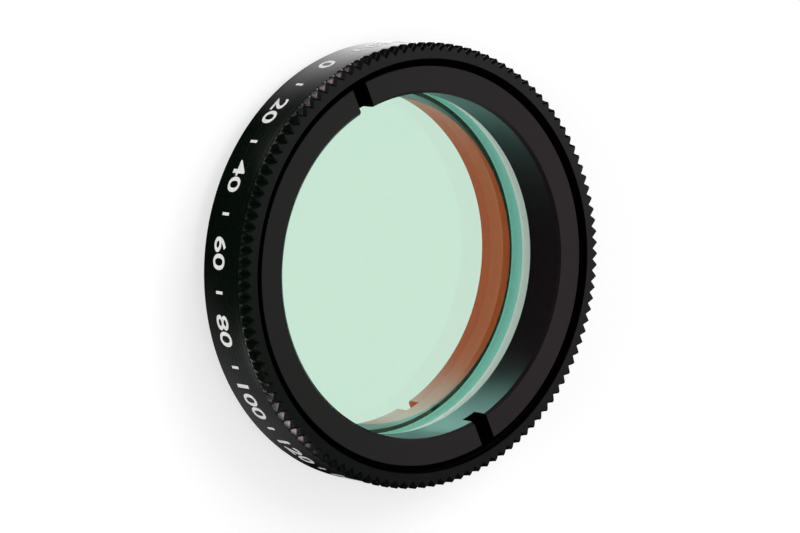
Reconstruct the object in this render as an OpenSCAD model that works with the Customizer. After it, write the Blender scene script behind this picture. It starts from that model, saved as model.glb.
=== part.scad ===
// Screw-in optical filter: a coated glass disc in a turned, knurled cell, clamped by a
// slotted retaining ring. Z is the optical axis, the origin is the centre of the rear face,
// and the front, where the ring shows, is up. The slots lie on the X axis. Millimetres.

/* [Filter thread] */
// Nominal diameter of the filter thread, male behind and female in front
thread_d = 28.5; // [28:0.1:32]
// Depth of the thread form, crest to root
thread_depth = 0.35; // [0.25:0.01:0.45]
// Length of the male thread that stands out behind the barrel
rear_thread_h = 1.2; // [0.9:0.1:2.4]
// Lead-in chamfer at the end of the male thread
thread_lead = 0.35; // [0.1:0.05:0.5]
// Width of the undercut between the male thread and the barrel
relief_w = 0.25; // [0.1:0.05:0.35]

/* [Cell] */
// Wall from the thread's nominal radius out to the tips of the knurl
rim_wall = 0.75; // [0.7:0.05:1.5]
// How far the smooth barrel lies below the tips of the knurl
barrel_step = 0.1; // [0.05:0.01:0.2]
// Edge break at the rear edge of the barrel
barrel_chamfer = 0.1; // [0.05:0.01:0.3]
// Thickness of the ledge that carries the glass
seat_t = 0.5; // [0.4:0.05:1]
// Width of that ledge under the rim of the glass
seat_ledge = 0.87; // [0.5:0.01:1.5]

/* [Knurl] */
// Number of teeth round the rim
knurl_n = 120; // [90:6:132]
// Length of the straight stretch of the grooves, between their run-out and the bevel
knurl_h = 0.05; // [0.05:0.05:1.5]
// Depth of a groove below the tips
knurl_depth = 0.38; // [0.2:0.01:0.42]
// Flat that is left on each tooth's tip
knurl_land = 0.04; // [0.03:0.01:0.15]
// Length of the groove's run-out into the barrel
knurl_runout = 0.55; // [0.15:0.05:0.6]
// Distance from the ends of the grooves to the start of the raised tips
tip_start = 0.06; // [0.04:0.01:0.1]
// Length of the bevel at the front of the knurl
bevel_h = 0.25; // [0.1:0.05:0.5]
// How far that bevel drops inwards at the front face
bevel_drop = 0.2; // [0.05:0.01:0.25]

/* [Glass] */
// How far the rim of the glass lies inside the nominal radius of the filter thread
glass_inset = 2.25; // [1.6:0.05:3]
// Thickness of the glass disc
glass_t = 2.1; // [1.5:0.1:3]
// Ground bevel round both faces of the glass
glass_bevel = 0.1; // [0.05:0.01:0.2]
// Clearance between the glass and its pocket, on the radius
glass_clear = 0.1; // [0.05:0.01:0.3]

/* [Retaining ring] */
// Height of the ring, from the glass to its slotted face
ring_h = 3.15; // [2:0.05:4]
// How far the slotted face lies below the front of the cell
ring_recess = 0.25; // [0.1:0.05:0.6]
// How far the ring reaches over the rim of the glass
ring_grip = 0.38; // [0.2:0.01:0.6]
// Clearance between the ring and the cell's bore, on the radius
ring_clear = 0.04; // [0.02:0.01:0.1]
// Width of the open groove round the ring's neck
neck_gap = 0.46; // [0.2:0.01:0.7]
// Depth of that groove below the slotted face
neck_h = 0.9; // [0.4:0.05:1.2]
// Chamfer at the front of the ring's bore
bore_chamfer = 0.2; // [0.05:0.01:0.35]
// Edge break at the foot of the ring
foot_chamfer = 0.15; // [0.05:0.01:0.3]
// How far the ring's foot stands clear of the shoulder round the glass pocket
ring_bite = 0.2; // [0.1:0.05:0.5]

/* [Spanner slots] */
// Width of the two slots
slot_w = 1.15; // [0.8:0.05:2]
// Depth of the slots below the ring's face
slot_depth = 1.25; // [0.6:0.05:1.8]

/* [Hidden] */
$fn = 180;
// Overrun of a cutting shape past the surface that it cuts
eps = 0.1;
// Share of the run-out's length, and of its rise, that is left where its slope steepens
bend_share = 0.4;
// How far the apex of a cutting wedge stays inside the wedge's outer face
wedge_min = 0.01;

thread_r = thread_d/2;
// The front bore is at the crests of its female thread
mouth_r = thread_r - thread_depth;
cell_r = thread_r + rim_wall;
barrel_r = cell_r - barrel_step;

glass_r = thread_r - glass_inset;
pocket_r = glass_r + glass_clear;
stop_r = glass_r - seat_ledge;

glass_top = seat_t + glass_t;
shoulder_z = glass_top - ring_bite;
ring_top = glass_top + ring_h;
cell_h = ring_top + ring_recess;
band_z = cell_h - bevel_h - knurl_h - knurl_runout;

ring_bore_r = glass_r - ring_grip;
ring_r = mouth_r - ring_clear;
neck_r = mouth_r - neck_gap;

// Half the width of a groove for each millimetre of its depth, at the tips
knurl_flank = (2*PI*cell_r/knurl_n - knurl_land)/2/knurl_depth;
// Radius of the groove's bottom line on the straight stretch
groove_r = cell_r - knurl_depth;
// Radius at which a cutting wedge ends, outside the cell
wedge_r = cell_r + eps;

// Height at which the run-out steepens, above its end, and the radius there
bend_h = knurl_runout*bend_share;
bend_r = groove_r + (barrel_r - groove_r)*bend_share;
// How far the last stretch of the run-out goes on past the barrel's surface
over_r = wedge_r - wedge_min - barrel_r;

// Stations of the groove's bottom line, as [height, radius], from the front down
GROOVE = [
    [cell_h + eps, groove_r - bevel_drop*(1 + eps/bevel_h)],
    [cell_h - bevel_h, groove_r],
    [cell_h - bevel_h - knurl_h, groove_r],
    [band_z + bend_h, bend_r],
    [band_z - over_r*bend_h/(barrel_r - bend_r), barrel_r + over_r]
];

// One V-shaped wedge that cuts a groove: a triangle at each station, apex inwards
module knurl_wedge() {
    points = [for (s = GROOVE, k = [0, 1, -1])
        [k == 0 ? s[1] : wedge_r, k*(wedge_r - s[1])*knurl_flank, s[0]]];
    last = 3*(len(GROOVE) - 1);
    sides = [for (i = [0:3:last - 3], k = [0:2])
        [i + k, i + (k + 1)%3, i + 3 + (k + 1)%3, i + 3 + k]];
    polyhedron(points, concat([[0, 1, 2]], sides, [[last + 2, last + 1, last]]));
}

// Turned blank of the cell, before the knurl is cut
module cell_blank() {
    rotate_extrude()
        polygon([
            [stop_r, 0],
            [thread_r - thread_lead, 0],
            [thread_r, thread_lead],
            [thread_r, rear_thread_h - relief_w],
            [mouth_r, rear_thread_h - relief_w],
            [mouth_r, rear_thread_h],
            [barrel_r - barrel_chamfer, rear_thread_h],
            [barrel_r, rear_thread_h + barrel_chamfer],
            [barrel_r, band_z + tip_start],
            [cell_r, band_z + tip_start + barrel_step],
            [cell_r, cell_h - bevel_h],
            [cell_r - bevel_drop, cell_h],
            [mouth_r, cell_h],
            [mouth_r, shoulder_z],
            [pocket_r, shoulder_z],
            [pocket_r, seat_t],
            [stop_r, seat_t]
        ]);
}

module filter_cell() {
    color("#232524")
        difference() {
            cell_blank();
            for (i = [0:knurl_n - 1])
                rotate([0, 0, (i + 0.5)*360/knurl_n])
                    knurl_wedge();
        }
}

module filter_glass() {
    color("#cce7d4")
        rotate_extrude()
            polygon([
                [0, seat_t],
                [glass_r - glass_bevel, seat_t],
                [glass_r, seat_t + glass_bevel],
                [glass_r, glass_top - glass_bevel],
                [glass_r - glass_bevel, glass_top],
                [0, glass_top]
            ]);
}

// Bar that cuts both spanner slots across the ring's face
module slot_bar() {
    translate([-cell_r, -slot_w/2, ring_top - slot_depth])
        cube([2*cell_r, slot_w, slot_depth + eps]);
}

module retaining_ring() {
    color("#302d2f")
        difference() {
            rotate_extrude()
                polygon([
                    [ring_bore_r, glass_top],
                    [ring_r - foot_chamfer, glass_top],
                    [ring_r, glass_top + foot_chamfer],
                    [ring_r, ring_top - neck_h],
                    [neck_r, ring_top - neck_h],
                    [neck_r, ring_top],
                    [ring_bore_r + bore_chamfer, ring_top],
                    [ring_bore_r, ring_top - bore_chamfer]
                ]);
            slot_bar();
        }
}

filter_cell();
filter_glass();
retaining_ring();
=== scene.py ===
"""Screw-in optical filter: a coated glass disc in a knurled cell, clamped by a slotted ring.

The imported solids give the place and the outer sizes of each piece. This script builds each piece
again in full detail, with its knurl, its threads and its printed scale, dresses it and sets up
the studio. Sizes are in millimetres until a mesh is made, and the optical axis is Z.
"""

import logging
import math
from dataclasses import dataclass, field
from enum import Enum
from typing import Any

import bmesh
import bpy
import numpy as np
from mathutils import Matrix, Vector


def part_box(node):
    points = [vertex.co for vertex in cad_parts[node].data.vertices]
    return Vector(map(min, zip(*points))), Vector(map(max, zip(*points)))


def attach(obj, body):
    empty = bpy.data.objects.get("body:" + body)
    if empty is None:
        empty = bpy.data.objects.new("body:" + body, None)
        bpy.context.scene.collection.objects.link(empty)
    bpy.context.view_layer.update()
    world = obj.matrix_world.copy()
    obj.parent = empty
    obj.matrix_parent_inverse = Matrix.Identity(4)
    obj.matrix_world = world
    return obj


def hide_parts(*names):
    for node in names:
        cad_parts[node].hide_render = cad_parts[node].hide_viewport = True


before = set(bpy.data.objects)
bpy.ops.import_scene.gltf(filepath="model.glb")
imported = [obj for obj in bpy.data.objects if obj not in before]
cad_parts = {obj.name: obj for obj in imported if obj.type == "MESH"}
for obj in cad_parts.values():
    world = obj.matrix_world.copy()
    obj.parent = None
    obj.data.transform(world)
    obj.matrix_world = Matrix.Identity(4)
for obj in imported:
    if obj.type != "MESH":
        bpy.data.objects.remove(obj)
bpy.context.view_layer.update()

MM = 0.001
TAU = 2 * math.pi
BODY = "root"
# Vertices closer than this are one vertex, in metres
MERGE = 1e-6
# Edges sharper than this stay crisp, in degrees
CRISP_DEG = 28.0
WHITE = (1.0, 1.0, 1.0, 1.0)
# Name of the attribute that holds the depth of the pressed knurl, as a share of its full depth
CUT = "pressed"
# Nearly all values of a noise texture lie between these
NOISE_LOW, NOISE_HIGH = 0.3, 0.7

# One radius, or the radii all round
Radius = float | np.ndarray
# Bearing from the white side in degrees, half-width in degrees, brightness where 1 is white
Patch = tuple[float, float, float]

log = logging.getLogger("filter")


class Part(Enum):
    """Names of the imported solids, which the finished pieces replace."""

    CELL = "filter_cell"
    GLASS = "filter_glass"
    RING = "retaining_ring"

    @property
    def piece_name(self) -> str:
        """Name of the finished piece that takes the solid's place."""
        return f"{self.value}_piece"


class GlassFace(Enum):
    """Material index of each face of the glass."""

    FRONT = 0
    REAR = 1
    EDGE = 2


def linear(hex_colour: str) -> tuple[float, float, float, float]:
    """Turn an sRGB hex colour into linear RGBA.

    Args:
        hex_colour: Six hex digits after a hash sign.

    Returns:
        The linear colour, with an alpha of 1.
    """
    values = [int(hex_colour[i:i + 2], 16) / 255 for i in (1, 3, 5)]
    bright = [v / 12.92 if v <= 0.04045 else ((v + 0.055) / 1.055) ** 2.4 for v in values]
    return (bright[0], bright[1], bright[2], 1.0)


def add_node(
    tree: bpy.types.NodeTree, kind: str, inputs: dict[Any, Any] | None = None, **settings: Any
) -> bpy.types.Node:
    """Add one node, with its settings and with a value or a link at each named input.

    Args:
        tree: The tree that gets the node.
        kind: Blender's type name of the node.
        inputs: A value, or another node's output socket, for each input's name or number.
        **settings: Attributes of the node itself.

    Returns:
        The new node.
    """
    made = tree.nodes.new(kind)
    for name, value in settings.items():
        setattr(made, name, value)
    for key, value in (inputs or {}).items():
        if isinstance(value, bpy.types.NodeSocket):
            tree.links.new(value, made.inputs[key])
        else:
            made.inputs[key].default_value = value
    return made


def empty_material(name: str) -> tuple[bpy.types.Material, bpy.types.NodeTree]:
    """Make a material with an empty node tree.

    Args:
        name: The material's name.

    Returns:
        The material and its tree.
    """
    material = bpy.data.materials.new(name)
    material.use_nodes = True
    material.node_tree.nodes.clear()
    return material, material.node_tree


def graded_across(
    tree: bpy.types.NodeTree, place: bpy.types.NodeSocket, bearing: float,
    reach: tuple[float, float], levels: tuple[float, float] = (0.0, 1.0),
) -> bpy.types.NodeSocket:
    """Give a level that changes evenly towards one side, and is even past its two ends.

    Args:
        tree: The tree that gets the nodes.
        place: Its socket with the place or the direction.
        bearing: The side towards which the level runs, in degrees from X.
        reach: How far the place lies towards that side where the change starts and ends.
        levels: The level at the start and at the end.

    Returns:
        The socket with the level.
    """
    turn = math.radians(bearing)
    side = add_node(
        tree, "ShaderNodeVectorMath", {0: place, 1: (math.cos(turn), math.sin(turn), 0.0)},
        operation="DOT_PRODUCT",
    )
    graded = add_node(
        tree, "ShaderNodeMapRange",
        {"Value": side.outputs["Value"], "From Min": reach[0], "From Max": reach[1],
         "To Min": levels[0], "To Max": levels[1]},
    )
    return graded.outputs[0]


@dataclass(frozen=True)
class BlackAnodised:
    """Turned aluminium, dyed black and sealed.

    The oxide layer is clear and hard, so the eye gets a near-black body under a satin sheen and
    fine rings that the lathe tool left. Its tone runs from green to mauve towards the room's white
    side, a painted colour cast of the room's light. The finish also paints shade: on one side of
    the front face, and in the grooves on one side of the rim.
    """

    name: str
    cool_tone: str
    warm_tone: str
    sheen_tint: str
    roughness: float
    shine: float
    # The real feed marks are about 0.05 mm apart, drawn coarser so that they show
    mark_pitch: float = 0.22
    mark_depth: float = 0.002
    mark_strength: float = 0.6
    # The marks swing the roughness by this much, over this range of their noise
    mark_gloss: float = 0.05
    mark_range: tuple[float, float] = (0.25, 0.75)
    # The etched grain is finer than this too, and swings the tone by this share
    grain: float = 0.16
    grain_swing: float = 0.25
    # The tone runs from cool to warm towards this side, across this much of the piece each way: a
    # painted colour cast of the room's light, towards its white side
    painted_cast_deg: float = -117.5
    painted_cast_reach: float = 12.0
    # By the photo the sheen of the front face runs from dull to bright towards this side: the dull
    # side is painted shade
    face_deg: float = -82.5
    face_reach: float = 14.0
    dull_share: float = 1.0
    bright_share: float = 1.05
    # A face belongs to the front where its normal points up the axis by more than this
    front_normal: float = 0.9
    # By the photo the pressed flanks of the knurl are glossier than turned metal, with a mauve
    # sheen. That finish starts and is whole at these shares of a groove's full depth.
    cut_tint: str = "#f0d0e4"
    cut_shine: float = 1.0
    cut_roughness: float = 0.2
    flank_start: float = 0.22
    flank_whole: float = 0.5
    # In the photo the grooves on this side of the rim are black. No lamp gave that, so the
    # finish paints that shade: between these distances from the axis the flanks go over to matt
    # black, which starts almost at the edge of a groove.
    shade_side_deg: float = 56.5
    shade_start: float = 11.2
    shade_whole: float = 12.4
    shade_shine: float = 0.03
    groove_start: float = 0.01
    groove_whole: float = 0.06

    def build(self) -> bpy.types.Material:
        """Build the material.

        Returns:
            The finished material.
        """
        material, tree = empty_material(self.name)
        place = add_node(tree, "ShaderNodeTexCoord").outputs["Object"]
        marks = self.tool_marks(tree, place)
        rings = add_node(
            tree, "ShaderNodeBump",
            {"Height": marks, "Distance": self.mark_depth * MM, "Strength": self.mark_strength},
        )
        cut = add_node(tree, "ShaderNodeAttribute", attribute_name=CUT).outputs["Fac"]
        pressed = add_node(
            tree, "ShaderNodeMapRange",
            {"Value": cut, "From Min": self.flank_start, "From Max": self.flank_whole},
        )
        sheen = add_node(
            tree, "ShaderNodeMix",
            {"Factor": pressed.outputs[0], 6: linear(self.sheen_tint), 7: linear(self.cut_tint)},
            data_type="RGBA",
        )
        normal = add_node(tree, "ShaderNodeNewGeometry").outputs["Normal"]
        upright = add_node(tree, "ShaderNodeSeparateXYZ", {0: normal})
        front = add_node(
            tree, "ShaderNodeMath", {0: upright.outputs[2], 1: self.front_normal},
            operation="GREATER_THAN",
        )
        # Painted shade: 0 on the side of the rim whose grooves are black
        unshaded = graded_across(
            tree, place, self.shade_side_deg, (self.shade_start * MM, self.shade_whole * MM), (1.0, 0.0)
        )
        flank = self.bare_flank(tree, pressed.outputs[0], front.outputs[0], unshaded)
        matt = self.painted_shade_groove(tree, cut, unshaded)
        # Painted shade: the front face's sheen dims towards one side of the piece
        dull = graded_across(
            tree, place, self.face_deg, (-self.face_reach * MM, self.face_reach * MM),
            (self.shine * self.dull_share, self.shine * self.bright_share),
        )
        turned = add_node(
            tree, "ShaderNodeMix", {"Factor": front.outputs[0], 2: self.shine, 3: dull},
            data_type="FLOAT",
        )
        knurled = add_node(
            tree, "ShaderNodeMix", {"Factor": flank, 2: turned.outputs[0], 3: self.cut_shine},
            data_type="FLOAT",
        )
        shine = add_node(
            tree, "ShaderNodeMix", {"Factor": matt, 2: knurled.outputs[0], 3: self.shade_shine},
            data_type="FLOAT",
        )
        gloss = add_node(
            tree, "ShaderNodeMapRange",
            {"Value": marks, "From Min": self.mark_range[0], "From Max": self.mark_range[1],
             "To Min": self.roughness - self.mark_gloss,
             "To Max": self.roughness + self.mark_gloss},
        )
        satin = add_node(
            tree, "ShaderNodeMix", {"Factor": flank, 2: gloss.outputs[0], 3: self.cut_roughness},
            data_type="FLOAT",
        )
        surface = add_node(
            tree, "ShaderNodeBsdfPrincipled",
            {
                "Base Color": self.tone(tree, place),
                "Roughness": satin.outputs[0],
                "Specular IOR Level": shine.outputs[0],
                "Specular Tint": sheen.outputs[2],
                "Normal": rings.outputs[0],
            },
        )
        add_node(tree, "ShaderNodeOutputMaterial", {"Surface": surface.outputs[0]})
        return material

    def tool_marks(
        self, tree: bpy.types.NodeTree, place: bpy.types.NodeSocket
    ) -> bpy.types.NodeSocket:
        """Draw the rings that the lathe tool left.

        Args:
            tree: The material's tree.
            place: Its socket with the place on the piece.

        Returns:
            The socket with the height of the marks.
        """
        split = add_node(tree, "ShaderNodeSeparateXYZ", {0: place})
        flat = add_node(tree, "ShaderNodeCombineXYZ", {0: split.outputs[0], 1: split.outputs[1]})
        radius = add_node(tree, "ShaderNodeVectorMath", {0: flat.outputs[0]}, operation="LENGTH")
        # On a face the radius changes and on a wall the height, so their sum runs along both
        along = add_node(
            tree, "ShaderNodeMath", {0: radius.outputs["Value"], 1: split.outputs[2]},
            operation="ADD",
        )
        marks = add_node(
            tree, "ShaderNodeTexNoise",
            {"W": along.outputs[0], "Scale": 1 / (self.mark_pitch * MM), "Detail": 2.0},
            noise_dimensions="1D",
        )
        return marks.outputs["Fac"]

    def tone(
        self, tree: bpy.types.NodeTree, place: bpy.types.NodeSocket
    ) -> bpy.types.NodeSocket:
        """Give the colour of the dyed body, with a painted colour cast across it and its grain.

        Args:
            tree: The material's tree.
            place: Its socket with the place on the piece.

        Returns:
            The socket with the colour.
        """
        # Painted colour cast: the tone turns warm towards the room's white side
        painted_cast = graded_across(
            tree, place, self.painted_cast_deg, (-self.painted_cast_reach * MM, self.painted_cast_reach * MM)
        )
        tone = add_node(
            tree, "ShaderNodeMix",
            {"Factor": painted_cast, 6: linear(self.cool_tone), 7: linear(self.warm_tone)},
            data_type="RGBA",
        )
        grain = add_node(
            tree, "ShaderNodeTexNoise",
            {"Vector": place, "Scale": 1 / (self.grain * MM), "Detail": 3.0},
        )
        speckled = add_node(
            tree, "ShaderNodeMapRange",
            {"Value": grain.outputs["Fac"], "From Min": NOISE_LOW, "From Max": NOISE_HIGH,
             "To Min": 1 - self.grain_swing, "To Max": 1 + self.grain_swing},
        )
        colour = add_node(
            tree, "ShaderNodeVectorMath", {0: tone.outputs[2], "Scale": speckled.outputs[0]},
            operation="SCALE",
        )
        return colour.outputs[0]

    def bare_flank(
        self, tree: bpy.types.NodeTree, pressed: bpy.types.NodeSocket,
        front: bpy.types.NodeSocket, unshaded: bpy.types.NodeSocket,
    ) -> bpy.types.NodeSocket:
        """Tell where the glossy finish of the knurl's flanks is.

        Args:
            tree: The material's tree.
            pressed: Its socket that is 1 on a flank.
            front: Its socket that is 1 on the front face.
            unshaded: Its socket that is 0 on the side of the rim with painted shade.

        Returns:
            The socket with the share of that finish.
        """
        behind = add_node(tree, "ShaderNodeMath", {0: 1.0, 1: front}, operation="SUBTRACT")
        flank = add_node(
            tree, "ShaderNodeMath", {0: behind.outputs[0], 1: pressed}, operation="MULTIPLY"
        )
        kept = add_node(
            tree, "ShaderNodeMath", {0: flank.outputs[0], 1: unshaded}, operation="MULTIPLY"
        )
        return kept.outputs[0]

    def painted_shade_groove(
        self, tree: bpy.types.NodeTree, cut: bpy.types.NodeSocket, unshaded: bpy.types.NodeSocket
    ) -> bpy.types.NodeSocket:
        """Tell where the grooves are matt black, as painted shade on one side of the rim.

        Args:
            tree: The material's tree.
            cut: Its socket with the depth of the knurl.
            unshaded: Its socket that is 0 on the side of the rim with painted shade.

        Returns:
            The socket with the share of that finish.
        """
        groove = add_node(
            tree, "ShaderNodeMapRange",
            {"Value": cut, "From Min": self.groove_start, "From Max": self.groove_whole},
        )
        # 1 on the side of the rim with painted shade
        dyed = add_node(tree, "ShaderNodeMath", {0: 1.0, 1: unshaded}, operation="SUBTRACT")
        matt = add_node(
            tree, "ShaderNodeMath", {0: groove.outputs[0], 1: dyed.outputs[0]},
            operation="MULTIPLY",
        )
        return matt.outputs[0]


@dataclass(frozen=True)
class PolishedCrownGlass:
    """Polished optical crown glass with a single hard layer on it.

    It is clear, and mirrors a faint, slightly yellow image of what is above it.
    """

    name: str = "polished_crown_glass"
    # The glass bends light by the first index, and the layer sets how much is mirrored
    index: float = 1.52
    layer_index: float = 1.62
    mirrored: str = "#fff6c8"

    def build(self) -> bpy.types.Material:
        """Build the material.

        Returns:
            The finished material.
        """
        material, tree = empty_material(self.name)
        share = add_node(tree, "ShaderNodeFresnel", {"IOR": self.layer_index}).outputs[0]
        through = add_node(
            tree, "ShaderNodeBsdfRefraction", {"Roughness": 0.0, "IOR": self.index}
        )
        # Light that is held inside the glass is mirrored whole, without the layer's tint
        tint = add_node(
            tree, "ShaderNodeMix", {"Factor": share, 6: linear(self.mirrored), 7: WHITE},
            data_type="RGBA",
        )
        mirror = add_node(
            tree, "ShaderNodeBsdfAnisotropic", {"Color": tint.outputs[2], "Roughness": 0.0}
        )
        surface = add_node(
            tree, "ShaderNodeMixShader", {0: share, 1: through.outputs[0], 2: mirror.outputs[0]}
        )
        add_node(tree, "ShaderNodeOutputMaterial", {"Surface": surface.outputs[0]})
        return material


@dataclass(frozen=True)
class LineCoating:
    """Interference coating that passes a narrow red line and mirrors the rest.

    The eye gets a mint mirror where it reflects light, and deep orange glass where nothing
    bright is mirrored.
    """

    name: str = "interference_coating"
    mirrored: str = "#a5faed"
    passed: str = "#87360a"
    index: float = 1.52

    def build(self) -> bpy.types.Material:
        """Build the material.

        Returns:
            The finished material.
        """
        material, tree = empty_material(self.name)
        through = add_node(
            tree, "ShaderNodeBsdfRefraction",
            {"Color": linear(self.passed), "Roughness": 0.0, "IOR": self.index},
        )
        mirror = add_node(
            tree, "ShaderNodeBsdfAnisotropic", {"Color": linear(self.mirrored), "Roughness": 0.0}
        )
        both = add_node(
            tree, "ShaderNodeAddShader", {0: through.outputs[0], 1: mirror.outputs[0]}
        )
        # Past the critical angle the face mirrors all light, as any glass does
        share = add_node(tree, "ShaderNodeFresnel", {"IOR": self.index}).outputs[0]
        plain = add_node(tree, "ShaderNodeBsdfAnisotropic", {"Color": WHITE, "Roughness": 0.0})
        surface = add_node(
            tree, "ShaderNodeMixShader", {0: share, 1: both.outputs[0], 2: plain.outputs[0]}
        )
        add_node(tree, "ShaderNodeOutputMaterial", {"Surface": surface.outputs[0]})
        return material


@dataclass(frozen=True)
class GroundGlass:
    """The rim of the disc, ground with fine grit: matt and pale, with a grainy look.

    The disc carries light to its rim, and the rim glows a little: a painted emission stands in
    for that light.
    """

    name: str = "ground_glass_edge"
    colour: str = "#e6f8e4"
    glow_colour: str = "#e4e8ea"
    glow: float = 0.265
    # The painted emission is stronger near the coated rear face than near the front
    rear_share: float = 1.15
    front_share: float = 0.7
    # Heights of the disc's rear and front faces
    rear_z: float = 0.5
    front_z: float = 2.6
    # Real grit leaves pits of a few hundredths of a millimetre, drawn coarser so that they show
    grit: float = 0.12
    pit_level: float = 0.86
    crest_level: float = 1.04

    def build(self) -> bpy.types.Material:
        """Build the material.

        Returns:
            The finished material.
        """
        material, tree = empty_material(self.name)
        place = add_node(tree, "ShaderNodeTexCoord").outputs["Object"]
        grains = add_node(
            tree, "ShaderNodeTexNoise",
            {"Vector": place, "Scale": 1 / (self.grit * MM), "Detail": 2.0},
        )
        level = add_node(
            tree, "ShaderNodeMapRange",
            {"Value": grains.outputs["Fac"], "From Min": NOISE_LOW, "From Max": NOISE_HIGH,
             "To Min": self.pit_level, "To Max": self.crest_level},
        )
        colour = add_node(
            tree, "ShaderNodeVectorMath", {0: linear(self.colour)[:3], "Scale": level.outputs[0]},
            operation="SCALE",
        )
        matt = add_node(tree, "ShaderNodeBsdfDiffuse", {"Color": colour.outputs[0]})
        height = add_node(tree, "ShaderNodeSeparateXYZ", {0: place})
        graded = add_node(
            tree, "ShaderNodeMapRange",
            {"Value": height.outputs[2], "From Min": self.rear_z * MM,
             "From Max": self.front_z * MM, "To Min": self.glow * self.rear_share,
             "To Max": self.glow * self.front_share},
        )
        strength = add_node(
            tree, "ShaderNodeMath", {0: level.outputs[0], 1: graded.outputs[0]},
            operation="MULTIPLY",
        )
        # Painted light: the ground rim glows though it is no lamp
        painted_glow = add_node(
            tree, "ShaderNodeEmission",
            {"Color": linear(self.glow_colour), "Strength": strength.outputs[0]},
        )
        surface = add_node(
            tree, "ShaderNodeAddShader", {0: matt.outputs[0], 1: painted_glow.outputs[0]}
        )
        add_node(tree, "ShaderNodeOutputMaterial", {"Surface": surface.outputs[0]})
        return material


@dataclass(frozen=True)
class ScreenInk:
    """White two-part screen ink on metal: opaque and eggshell, a little thin in places."""

    name: str = "white_screen_ink"
    colour: str = "#fafaf8"
    roughness: float = 0.5
    mottle: float = 0.3
    thin_level: float = 0.85
    thick_level: float = 1.02

    def build(self) -> bpy.types.Material:
        """Build the material.

        Returns:
            The finished material.
        """
        material, tree = empty_material(self.name)
        place = add_node(tree, "ShaderNodeTexCoord").outputs["Object"]
        film = add_node(
            tree, "ShaderNodeTexNoise",
            {"Vector": place, "Scale": 1 / (self.mottle * MM), "Detail": 2.0},
        )
        level = add_node(
            tree, "ShaderNodeMapRange",
            {"Value": film.outputs["Fac"], "From Min": NOISE_LOW, "From Max": NOISE_HIGH,
             "To Min": self.thin_level, "To Max": self.thick_level},
        )
        colour = add_node(
            tree, "ShaderNodeVectorMath", {0: linear(self.colour)[:3], "Scale": level.outputs[0]},
            operation="SCALE",
        )
        surface = add_node(
            tree, "ShaderNodeBsdfPrincipled",
            {"Base Color": colour.outputs[0], "Roughness": self.roughness},
        )
        add_node(tree, "ShaderNodeOutputMaterial", {"Surface": surface.outputs[0]})
        return material


@dataclass(frozen=True)
class StudioPaper:
    """Matt white paper sweep: it keeps soft shadows, and is white to the eye and to the glass."""

    name: str = "studio_paper"
    colour: str = "#c0c0c0"
    # Light of its own, which only the camera sees, so that lit paper looks white
    lift: float = 0.59

    def build(self) -> bpy.types.Material:
        """Build the material.

        Returns:
            The finished material.
        """
        material, tree = empty_material(self.name)
        rays = add_node(tree, "ShaderNodeLightPath").outputs
        matt = add_node(tree, "ShaderNodeBsdfDiffuse", {"Color": linear(self.colour)})
        lifted = add_node(
            tree, "ShaderNodeMath", {0: rays["Is Camera Ray"], 1: self.lift},
            operation="MULTIPLY",
        )
        # Only what is seen straight through the glass is white, not what metal mirrors of it
        bounced = add_node(
            tree, "ShaderNodeMath", {0: rays["Glossy Depth"], 1: rays["Diffuse Depth"]},
            operation="ADD",
        )
        straight = add_node(
            tree, "ShaderNodeMath", {0: bounced.outputs[0], 1: 0.5}, operation="LESS_THAN"
        )
        through = add_node(
            tree, "ShaderNodeMath", {0: straight.outputs[0], 1: rays["Is Transmission Ray"]},
            operation="MULTIPLY",
        )
        seen = add_node(
            tree, "ShaderNodeMath", {0: lifted.outputs[0], 1: through.outputs[0]},
            operation="ADD",
        )
        white = add_node(tree, "ShaderNodeEmission", {"Strength": seen.outputs[0]})
        both = add_node(tree, "ShaderNodeAddShader", {0: matt.outputs[0], 1: white.outputs[0]})
        add_node(tree, "ShaderNodeOutputMaterial", {"Surface": both.outputs[0]})
        return material


@dataclass(frozen=True)
class LitCard:
    """White card that gives light of its own, by the level that its mesh holds at each point."""

    name: str = "lit_table_card"
    level_name: str = "level"

    def build(self) -> bpy.types.Material:
        """Build the material.

        Returns:
            The finished material.
        """
        material, tree = empty_material(self.name)
        level = add_node(tree, "ShaderNodeAttribute", attribute_name=self.level_name)
        light = add_node(tree, "ShaderNodeEmission", {"Strength": level.outputs["Fac"]})
        add_node(tree, "ShaderNodeOutputMaterial", {"Surface": light.outputs[0]})
        return material


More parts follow.
